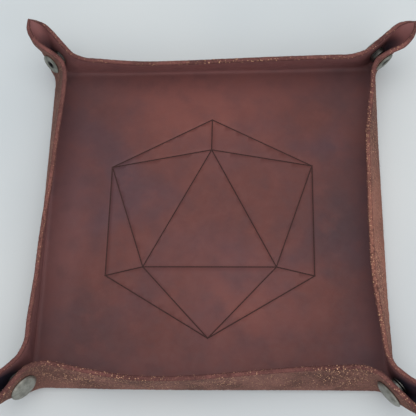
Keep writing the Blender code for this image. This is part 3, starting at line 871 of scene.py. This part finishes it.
fibreDye = {
    "tones": (fleshTones["cutEdge"]["body"], tone(206, 158, 124)),
    "cloud": (0.9, 2.0),
    "between": (0.35, 0.65),
    "sockets": {"Roughness": 0.8},
}
burntDye = {
    "tones": (tone(54, 38, 37), tone(84, 58, 55)),
    "cloud": (2.2, 3.0, 0.6),
    "between": (0.3, 0.7),
    "sockets": {"Roughness": 0.9, "Specular IOR Level": 0.2},
    "bump": (0.6, 0.1 * mm),
}


def twoToned(name, findPlace, finish):
    # A finish whose two tones follow one cloud
    material, tree = newMaterial(name)
    haze = cloud(tree, findPlace(tree), *finish["cloud"])
    colour = blendTones(tree, spread(tree, haze, *finish["between"]), *finish["tones"])
    fillShader(tree, finish, {"Base Color": colour}, haze)
    return material


plating = {
    # Bright and dull tone, least and most roughness, and between which radii the painted shade in a
    # hole fades
    "capMetal": (tone(156, 155, 147), tone(122, 121, 114), 0.36, 0.58),
    "darkMetal": (tone(108, 108, 104), tone(70, 70, 68), 0.24, 0.48),
    "eyeletMetal": (tone(144, 144, 134), tone(106, 106, 98), 0.3, 0.5, (1.9 * mm, 2.6 * mm)),
    "springMetal": (tone(190, 190, 186), tone(140, 140, 134), 0.2, 0.4),
}
platingWear = {
    "patches": (260.0, 4.0, 0.6),
    "dulled": (0.35, 0.68),
    "rubs": (1400.0, 3.0, 0.7),
    "rubAmount": 0.4,
    "rubbed": (0.4, 0.9),
    # Painted shade inside a hole
    "paintedShade": tone(22, 20, 20),
    "sockets": {"Metallic": 0.92},
    "bump": (0.25, 0.02 * mm),
}


def snapMetal(name, bright, dull, least, most, shadeFades=None):
    # Plated press stud metal: dulled in patches, with fine rubs, and painted shade inside a hole
    material, tree = newMaterial(name)
    place = ownPlace(tree)
    patch = cloud(tree, place, *platingWear["patches"])
    colour = blendTones(tree, spread(tree, patch, *platingWear["dulled"]), bright, dull)
    # Painted shade, darkest about the axis and fading out between two radii
    if shadeFades:
        clean = spread(tree, fromAxis(tree, place), *shadeFades)
        colour = blendTones(tree, clean, platingWear["paintedShade"], colour)
    rub = cloud(tree, place, *platingWear["rubs"])
    worn = plus(tree, patch, times(tree, rub, platingWear["rubAmount"]))
    roughness = spread(tree, worn, *platingWear["rubbed"], least, most)
    fillShader(tree, platingWear, {"Base Color": colour, "Roughness": roughness}, rub)
    return material


# In the order of the kinds of face
hideMaterials = [
    dyedGrain(),
    rawFlesh("cutEdge"),
    rawFlesh("fleshSide"),
    twoToned("looseFibre", hidePlace, fibreDye),
    twoToned("burntLine", hidePlace, burntDye),
]
metals = {name: snapMetal(name, *finish) for name, finish in plating.items()}
print("materials ready")


# The floor, with the engraved figure: a twenty-sided solid seen face on

figure = {
    "shift": (-0.2 * mm, -1.4 * mm),
    "turn": -0.2,
    "halfWidth": 53.7 * mm,
    "shoulder": 30.3 * mm,
    "top": 58.2 * mm,
    "bottom": -62.5 * mm,
    "innerTop": 40.2 * mm,
    "innerBase": -25.6 * mm,
    "innerHalfWidth": 34.4 * mm,
    "grooveWidth": 0.62 * mm,
    "grooveFloorShare": 0.35,
    "grooveDepth": 0.34 * mm,
    "grooveFlare": 1.6,
    "skin": 0.01 * mm,
    "sharpAngle": 30.0,
}
floorHalfX = halfBase - creaseStart - cut["seam"]
floorHalfY = halfBase - creaseStart


def figureStrokes():
    wide, shoulder = figure["halfWidth"], figure["shoulder"]
    outer = [(0.0, figure["top"]), (wide, shoulder), (wide, -shoulder),
             (0.0, figure["bottom"]), (-wide, -shoulder), (-wide, shoulder)]
    inner = [(0.0, figure["innerTop"]), (figure["innerHalfWidth"], figure["innerBase"]),
             (-figure["innerHalfWidth"], figure["innerBase"])]
    strokes = [(outer[index], outer[(index + 1) % 6]) for index in range(6)]
    strokes += [(inner[index], inner[(index + 1) % 3]) for index in range(3)]
    for index, point in enumerate(inner):
        strokes += [(point, outer[(2 * index + turn) % 6]) for turn in (-1, 0, 1)]
    return strokes


def grooveCutter():
    # Tapered bars along the strokes, standing a little out of the grain side
    points, faces = [], []
    depth, half = figure["grooveDepth"], figure["grooveWidth"] / 2
    wide, narrow = figure["grooveFlare"] * half, figure["grooveFloorShare"] * half
    outline = ((-wide, depth), (wide, depth), (narrow, -depth), (-narrow, -depth))
    aslant = Matrix.Rotation(math.radians(figure["turn"]), 2)
    for ends in figureStrokes():
        start, end = [aslant @ Vector(point) + Vector(figure["shift"]) for point in ends]
        run = (end - start).normalized()
        side = Vector((-run.y, run.x))
        base = len(points)
        for place in (start - run * half, end + run * half):
            for reach, height in outline:
                spot = place + side * reach
                points.append((spot.x, spot.y, thickness + height))
        faces += [(base, base + 1, base + 2, base + 3), (base + 7, base + 6, base + 5, base + 4)]
        for corner in range(4):
            after = (corner + 1) % 4
            faces.append((base + after, base + corner, base + 4 + corner, base + 4 + after))
    return newObject("grooveCutter", newMesh("grooveCutter", points, faces))


def floorSlab(lineX, lineY):
    # A slab of the floor that lies flat or rounds up at its edges
    x, y = np.meshgrid(lineX, lineY, indexing="ij")
    middle, normal = hideMiddle(x, y)
    rows, columns = x.shape
    sheets = [middle + normal * thickness / 2, middle - normal * thickness / 2]
    points = np.concatenate([sheet.reshape(-1, 3) for sheet in sheets])
    places = np.stack([x, y, np.full_like(x, thickness / 2)], axis=-1).reshape(-1, 3) / mm
    places = np.concatenate([places, places * np.array([1.0, 1.0, -1.0])])
    faces, faceKinds = [], []
    under = rows * columns
    for row in range(rows - 1):
        for column in range(columns - 1):
            a, b = row * columns + column, (row + 1) * columns + column
            faces += [(a, b, b + 1, a + 1), (under + a + 1, under + b + 1, under + b, under + a)]
            faceKinds += [kindGrain, kindFlesh]
    ring = [(0, column) for column in range(columns)] + [(row, columns - 1) for row in range(1, rows)]
    ring += [(rows - 1, column) for column in range(columns - 2, -1, -1)]
    ring += [(row, 0) for row in range(rows - 2, 0, -1)]
    spots = [row * columns + column for row, column in ring]
    for here, there in zip(spots, spots[1:] + spots[:1]):
        faces.append((here, there, under + there, under + here))
        faceKinds.append(kindEdge)
    first = [Vector(points[index]) for index in faces[0]]
    if (first[1] - first[0]).cross(first[2] - first[0]).z < 0:
        faces = [face[::-1] for face in faces]
    return points, faces, faceKinds, places, np.concatenate([normal.reshape(-1, 3)] * 2)


def makeFloor():
    lineX = steps(-floorHalfX, floorHalfX, cut["floorStep"])
    lineY = steps(-floorHalfY, floorHalfY, cut["floorStep"])
    piece = makeHideMesh("hideFloor", *floorSlab(lineX, lineY))
    piece.data.attributes.remove(piece.data.attributes["hidePlace"])
    cutter = grooveCutter()
    modifier = piece.modifiers.new("grooves", "BOOLEAN")
    modifier.operation = "DIFFERENCE"
    modifier.solver = "EXACT"
    modifier.use_self = True
    modifier.object = cutter
    depsgraph = bpy.context.evaluated_depsgraph_get()
    mesh = bpy.data.meshes.new_from_object(piece.evaluated_get(depsgraph))
    piece.modifiers.clear()
    piece.data = mesh
    bpy.data.objects.remove(cutter)
    grainLevel = thickness - figure["skin"]
    for face in mesh.polygons:
        deep = min(mesh.vertices[index].co.z for index in face.vertices)
        if deep > grainLevel:
            face.material_index = kindGrain
        elif thickness / 2 < deep < grainLevel:
            face.material_index = kindBurnt
    mesh.shade_smooth()
    mesh.set_sharp_from_angle(angle=math.radians(figure["sharpAngle"]))
    keepPlaces(mesh, [(v.co.x / mm, v.co.y / mm, (v.co.z - thickness / 2) / mm) for v in mesh.vertices])
    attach(piece, "floor")
    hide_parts("leather_floor")
    for corner, (wayX, wayY) in corners.items():
        lineX = wayX * steps(floorHalfX, halfBase, cut["bendStep"])
        lineY = wayY * steps(floorHalfY, halfBase, cut["bendStep"])
        foot = makeHideMesh("hideFoot_" + corner, *floorSlab(lineX, lineY))
        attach(foot, "floor")


# The walls: each bends up from the floor

bend = {"reach": 3.6 * mm, "earReach": 2.9 * mm, "foldReach": 3.3 * mm}


def wallSheet(wayX, wayY):
    floorHalf = floorHalfX if wayX else floorHalfY
    rows = np.concatenate([steps(floorHalf - halfBase, 0.0, cut["bendStep"])[:-1], riseRows()])
    across, offset, kinds = cutLoop(rows)
    seam = 0.0 if wayX else cut["seam"]
    reach = np.where(across < 0, halfBase - creaseStart - seam, halfBase - creaseAt(across) - seam)
    count = int(2 * floorHalfX / cut["wallStep"])
    run = np.linspace(-1.0, 1.0, count)[None, :] * reach[:, None]
    out = np.repeat((halfBase + across)[:, None], count, axis=1)
    x, y = (wayX * out, run) if wayX else (run, wayY * out)
    return x, y, offset, kinds


def makeWall(name, wayX, wayY):
    piece = makeSlab("hideWall_" + name, *wallSheet(wayX, wayY), cut["wallFibres"])
    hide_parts("leather_wall_" + name)
    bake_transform(piece)


# The pinched corners: a bend off the front or back wall, two ear halves and the fold between them

pinch = {
    "bendColumns": 15,
    "capColumns": 34,
    "studColumns": 40,
    "foldColumns": 16,
    "bendFibres": 30,
    "earFibres": 90,
    "foldFibres": 60,
    "holeRadius": 2.5 * mm,
}


def jointFacts(name):
    return next(joint for joint in frame["joints"] if joint["name"] == name)


def foldShare(across):
    # How much of an ear's width, at a height, belongs to the fold's own piece
    width = creaseAt(across) + across
    atFoot = cut["foldFootShare"] * (width - cut["seam"])
    return np.minimum(math.sqrt(2) * cut["foldHalf"], atFoot) / width


def earSheet(corner, across, low, high, columns, studSide=False):
    # Places on the flat hide, between two distances along the wall at each distance from its foot
    wayX, wayY = corners[corner]
    along = low[:, None] + (high - low)[:, None] * np.linspace(0.0, 1.0, columns)[None, :]
    across = np.repeat(across[:, None], columns, axis=1)
    if studSide:
        return wayX * (halfBase + across), wayY * (halfBase - along)
    return wayX * (halfBase - along), wayY * (halfBase + across)


def studAxis(corner):
    # Centre and direction of a press stud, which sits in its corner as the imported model's does
    place = earPlace(np.array(studAlong), np.array(studAcross))
    outward, sideways, upward = [float(value) for value in place]
    centre = Vector(cornerPoint(corner, outward, 0.0, upward))
    axis = Vector(cornerPoint(corner, outward, sideways, upward)) - centre
    return centre, axis.normalized()


def makeCorner(corner, wayX, wayY):
    across, offset, kinds = cutLoop(riseRows())
    crease = creaseAt(across)
    fold = -across + foldShare(across) * (crease + across)
    capBody, studBody = "ear_cap_side_" + corner, "ear_stud_side_" + corner
    centre, axis = studAxis(corner)
    holes = [(centre, axis, pinch["holeRadius"])]

    x, y = earSheet(corner, across, crease - cut["seam"], crease + cut["seam"], pinch["bendColumns"])
    strip = makeSlab("hideBend_" + corner, x, y, offset, kinds, pinch["bendFibres"])
    hinge = jointFacts("ear_bend_" + corner)
    turnAxis = Vector(hinge["axis"]).normalized()
    middle = hide["wallHeight"] / 2
    ends = []
    for reach in (bend["earReach"], -bend["earReach"]):
        place = halfBase - creaseAt(middle) - reach
        ends.append(Vector(bentHide(np.array(wayX * place), np.array(wayY * (halfBase + middle)))))
    across2 = ends[1] - ends[0]
    across2 -= turnAxis * across2.dot(turnAxis)
    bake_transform(strip)

    x, y = earSheet(corner, across, fold, crease - cut["seam"], pinch["capColumns"])
    ear = makeSlab("hideEarCap_" + corner, x, y, offset, kinds, pinch["earFibres"], holes)
    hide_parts("leather_ear_cap_side_" + corner)
    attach(ear, capBody)

    x, y = earSheet(corner, across, fold, crease, pinch["studColumns"], studSide=True)
    ear = makeSlab("hideEarStud_" + corner, x, y, offset, kinds, pinch["earFibres"], holes)
    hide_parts("leather_ear_stud_side_" + corner)
    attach(ear, studBody)

    capHalf = earSheet(corner, across, fold, -across, pinch["foldColumns"])
    studHalf = earSheet(corner, across, -across, fold, pinch["foldColumns"], studSide=True)
    x, y = [np.concatenate([cap, stud[:, 1:]], axis=1) for cap, stud in zip(capHalf, studHalf)]
    piece = makeSlab("hideFold_" + corner, x, y, offset, kinds, pinch["foldFibres"])
    reach = axis * bend["foldReach"]
    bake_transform(piece)


makeFloor()
print("floor cut and engraved")
for wallName, way in walls.items():
    makeWall(wallName, *way)
print("walls bent up")
for cornerName, way in corners.items():
    makeCorner(cornerName, *way)
print("corners pinched")


# Press studs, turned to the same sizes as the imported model

snap = {
    "sides": 72,
    "seatGap": 0.3 * mm,
    "capRadius": 7.25 * mm,
    "capDome": 1.5 * mm,
    "capRim": 0.45 * mm,
    "postRadius": 1.95 * mm,
    "postEndRadius": 2.5 * mm,
    "postEndHeight": 0.25 * mm,
    "socketRadius": 4.6 * mm,
    "socketHeight": 2.6 * mm,
    "socketPlate": 0.6 * mm,
    "socketLip": 0.2 * mm,
    "mouthRadius": 2.9 * mm,
    "grooveRadius": 3.6 * mm,
    "grooveHeight": 1.0 * mm,
    "springWire": 0.25 * mm,
    "springSplit": 30.0,
    "studFlangeRadius": 4.4 * mm,
    "studFlangeHeight": 0.7 * mm,
    "studHeadRadius": 2.45 * mm,
    "studNeckRadius": 2.2 * mm,
    "studHeadHeight": 0.55 * mm,
    "studHeadTopRadius": 1.9 * mm,
    "eyeletRadius": 5.7 * mm,
    "eyeletHeight": 0.8 * mm,
    "barrelRadius": 1.45 * mm,
    "barrelWall": 0.45 * mm,
    "holeClearance": 0.3 * mm,
    "studTopWall": 0.3 * mm,
    "round": 0.12 * mm,
    "roundMost": 0.45,
    "roundSteps": 4,
    "sharpAngle": 38.0,
    "domeSteps": 15,
    "domeShare": 0.965,
    # The cap's lip: share of the radius and rise over the rim, then inset and rise over the seat
    "lipAtRim": ((0.968, 0.04 * mm), (0.985, 0.0), (1.0, -0.12 * mm)),
    "lipAtSeat": ((0.0, 0.1 * mm), (0.15 * mm, -0.12 * mm), (0.6 * mm, -0.1 * mm)),
    "socketMouthInset": 0.5 * mm,
    "socketBulgeInset": 0.2 * mm,
    "socketWaist": (0.35 * mm, 0.9 * mm),
    "socketCollar": 0.7 * mm,
    "flangeEdge": 0.2 * mm,
    "flangeBevel": (0.5 * mm, 0.1 * mm),
    "neckFillet": (0.5 * mm, 0.3 * mm),
    # The eyelet's rolled rim and its funnel: inset from the rim or width over the barrel, and rise
    "eyeletSink": 0.05 * mm,
    "eyeletLip": 0.3 * mm,
    "eyeletRoll": ((0.7 * mm, 0.12 * mm), (1.8 * mm, 0.0)),
    "eyeletFunnel": ((1.5 * mm, 0.02 * mm), (0.9 * mm, 0.3 * mm)),
    "wireSides": 12,
    "wireSteps": 60,
}


def studLevels():
    half = hide["studStack"] / 2
    base = half - snap["seatGap"]
    postEndTop = base - snap["socketPlate"] - snap["seatGap"]
    postEnd = postEndTop - snap["postEndHeight"]
    return {
        "capSeat": half + thickness + snap["seatGap"],
        "postEndTop": postEndTop,
        "postEnd": postEnd,
        "socketBase": base,
        "socketMouth": base - snap["socketHeight"],
        "studBase": snap["seatGap"] - half,
        "studTop": postEnd - snap["seatGap"],
        "eyeletSeat": -half - thickness - snap["seatGap"],
    }


def roundCorners(profile, radius):
    # Rounds every corner of a closed profile that stays off the axis
    rounded = []
    for index, point in enumerate(profile):
        here = Vector(point)
        before = Vector(profile[index - 1]) - here
        after = Vector(profile[(index + 1) % len(profile)]) - here
        if point[0] == 0:
            rounded.append(tuple(here))
            continue
        size = min(radius, before.length * snap["roundMost"], after.length * snap["roundMost"])
        start = here + before.normalized() * size
        end = here + after.normalized() * size
        for step in range(snap["roundSteps"] + 1):
            share = step / snap["roundSteps"]
            spot = start * (1 - share) ** 2 + here * 2 * share * (1 - share) + end * share ** 2
            rounded.append(tuple(spot))
    return rounded


def turnProfile(name, profile, place, material):
    sides = snap["sides"]
    points, rings = [], []
    for radius, height in profile:
        count = 1 if radius == 0 else sides
        rings.append((len(points), count))
        for side in range(count):
            angle = math.tau * side / sides
            points.append((radius * math.cos(angle), radius * math.sin(angle), height))
    faces = []
    for (start, count), (nextStart, nextCount) in zip(rings, rings[1:] + rings[:1]):
        if count == 1 and nextCount == 1:
            continue
        for side in range(sides):
            after = (side + 1) % sides
            if count == 1:
                faces.append((start, nextStart + side, nextStart + after))
            elif nextCount == 1:
                faces.append((start + side, nextStart, start + after))
            else:
                faces.append((start + side, nextStart + side, nextStart + after, start + after))
    return finishMetal(name, points, faces, place, material)


def finishMetal(name, points, faces, place, material):
    piece = newObject(name, newMesh(name, points, faces, [material], snap["sharpAngle"]))
    piece.matrix_world = place
    return piece


def capProfile(levels):
    seat, radius = levels["capSeat"], snap["capRadius"]
    rim = seat + snap["capRim"]
    dome = [(0, rim + snap["capDome"])]
    for step in range(1, snap["domeSteps"]):
        share = math.sin(math.pi / 2 * step / snap["domeSteps"])
        height = rim + snap["capDome"] * math.sqrt(1 - share ** 2)
        dome.append((radius * snap["domeShare"] * share, height))
    lip = [(radius * share, rim + rise) for share, rise in snap["lipAtRim"]]
    lip += [(radius - inset, seat + rise) for inset, rise in snap["lipAtSeat"]]
    post, postEnd = snap["postRadius"], snap["postEndRadius"]
    top, end = levels["postEndTop"], levels["postEnd"]
    return dome + lip + [(post, seat), (post, top), (postEnd, top), (postEnd, end), (0, end)]


def socketProfile(levels):
    base, mouth = levels["socketBase"], levels["socketMouth"]
    plate = base - snap["socketPlate"]
    grooveLow = mouth + snap["socketLip"]
    grooveHigh = grooveLow + snap["grooveHeight"]
    bore = snap["postRadius"] + snap["holeClearance"]
    outer, inner, groove = snap["socketRadius"], snap["mouthRadius"], snap["grooveRadius"]
    waistInset, waistDrop = snap["socketWaist"]
    profile = [(outer - snap["socketMouthInset"], mouth), (outer - snap["socketBulgeInset"], grooveLow),
               (outer - waistInset, base - waistDrop), (outer, base - snap["socketCollar"]),
               (outer, base), (bore, base), (bore, plate), (inner, plate), (inner, grooveHigh),
               (groove, grooveHigh), (groove, grooveLow), (inner, grooveLow), (inner, mouth)]
    return roundCorners(profile, snap["round"])


def studProfile(levels):
    base, top = levels["studBase"], levels["studTop"]
    flange = base + snap["studFlangeHeight"]
    shoulder = top - snap["studHeadHeight"]
    bore = snap["barrelRadius"] + snap["holeClearance"]
    crown = top - snap["studTopWall"]
    outer, neck, head = snap["studFlangeRadius"], snap["studNeckRadius"], snap["studHeadRadius"]
    bevelInset, bevelDrop = snap["flangeBevel"]
    filletOut, filletUp = snap["neckFillet"]
    profile = [(outer, base), (outer, flange - snap["flangeEdge"]),
               (outer - bevelInset, flange - bevelDrop), (neck + filletOut, flange),
               (neck, flange + filletUp), (neck, shoulder),
               (head, (shoulder + top) / 2), (snap["studHeadTopRadius"], top), (0, top),
               (0, crown), (bore, crown), (bore, base)]
    return roundCorners(profile, snap["round"])


def eyeletProfile(levels):
    seat, sink = levels["eyeletSeat"], snap["eyeletSink"]
    face = seat - snap["eyeletHeight"]
    tip = levels["studTop"] - snap["studTopWall"] - snap["holeClearance"]
    radius, barrel = snap["eyeletRadius"], snap["barrelRadius"]
    bore = barrel - snap["barrelWall"]
    profile = [(radius, seat + sink), (radius, seat - snap["eyeletLip"])]
    profile += [(radius - inset, face + rise) for inset, rise in snap["eyeletRoll"]]
    profile += [(barrel + out, face + rise) for out, rise in snap["eyeletFunnel"]]
    profile += [(bore, seat - sink), (bore, tip), (barrel, tip), (barrel, seat + sink)]
    return roundCorners(profile, 2 * snap["round"])


def springRing(name, levels, place):
    # A split ring of round wire in the socket's groove
    wire, sides, rings = snap["springWire"], snap["wireSides"], snap["wireSteps"]
    ring = snap["grooveRadius"] - snap["holeClearance"] - wire
    height = levels["socketMouth"] + snap["socketLip"] + snap["grooveHeight"] / 2
    gap = math.radians(snap["springSplit"])
    points, faces = [], []
    for step in range(rings + 1):
        turn = gap / 2 + (math.tau - gap) * step / rings
        for side in range(sides):
            angle = math.tau * side / sides
            radius, rise = ring + wire * math.cos(angle), height + wire * math.sin(angle)
            points.append((radius * math.cos(turn), radius * math.sin(turn), rise))
    for step in range(rings):
        here, there = step * sides, (step + 1) * sides
        for side in range(sides):
            after = (side + 1) % sides
            faces.append((here + side, there + side, there + after, here + after))
    faces.append(tuple(range(sides)))
    faces.append(tuple(rings * sides + side for side in reversed(range(sides))))
    return finishMetal(name, points, faces, place, metals["springMetal"])


def makeSnap(corner):
    centre, axis = studAxis(corner)
    levels = studLevels()
    place = Matrix.Translation(centre) @ axis.to_track_quat("Z", "Y").to_matrix().to_4x4()
    capBody, studBody = "ear_cap_side_" + corner, "ear_stud_side_" + corner
    made = (
        ("cap", capProfile, "capMetal", capBody, "snap_cap"),
        ("socket", socketProfile, "darkMetal", capBody, "snap_inner"),
        ("stud", studProfile, "darkMetal", studBody, "snap_inner"),
        ("eyelet", eyeletProfile, "eyeletMetal", studBody, "snap_eyelet"),
    )
    for part, profile, metal, body, slot in made:
        piece = turnProfile("press_" + part + "_" + corner, profile(levels), place, metals[metal])
        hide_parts("snap_" + part + "_" + corner)
        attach(piece, body)
    spring = springRing("press_spring_" + corner, levels, place)
    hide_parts("snap_spring_" + corner)
    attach(spring, capBody)


for cornerName in corners:
    makeSnap(cornerName)
print("press studs fitted")


# Pale table, a wide soft lamp overhead, a window low at the front right, and a pale sky

studio = {
    "tableReach": 3.0,
    "tableDrop": 0.05 * mm,
    "tableFinish": {
        "tones": (tone(219, 224, 225), tone(210, 217, 220)),
        "cloud": (6.0, 2.0),
        "between": (0.3, 0.7),
        "sockets": {"Roughness": 0.9, "Specular IOR Level": 0.1},
    },
    "skyTone": tone(248, 251, 255),
    "skyStrength": 0.6,
    # Each lamp: its name, place, size, power and colour
    "lamps": (
        ("overhead", (0.1, -0.04, 1.9), 2.0, 15.4, (1.0, 0.98, 0.95)),
        ("window", (0.6, -1.3, 0.65), 1.5, 8.0, (1.0, 0.985, 0.97)),
    ),
}


def addTable():
    reach, height = studio["tableReach"], -studio["tableDrop"]
    ends = ((-1, -1), (1, -1), (1, 1), (-1, 1))
    points = [(wayX * reach, wayY * reach, height) for wayX, wayY in ends]
    finish = twoToned("tableTop", ownPlace, studio["tableFinish"])
    table = newObject("table", newMesh("table", points, [(0, 1, 2, 3)], [finish]))


def addLight():
    world = bpy.data.worlds.new("sky")
    bpy.context.scene.world = world
    world.use_nodes = True
    sky = world.node_tree.nodes["Background"]
    sky.inputs["Color"].default_value = studio["skyTone"]
    sky.inputs["Strength"].default_value = studio["skyStrength"]
    for name, place, size, power, colour in studio["lamps"]:
        lamp = bpy.data.lights.new(name, "AREA")
        lamp.size = size
        lamp.energy = power
        lamp.color = colour
        holder = newObject(name, lamp)
        holder.location = place
        holder.rotation_euler = Vector(place).to_track_quat("Z", "Y").to_euler()


addTable()
addLight()
addCamera()
bpy.context.scene.view_settings.view_transform = "Standard"
print("table, light and camera set")
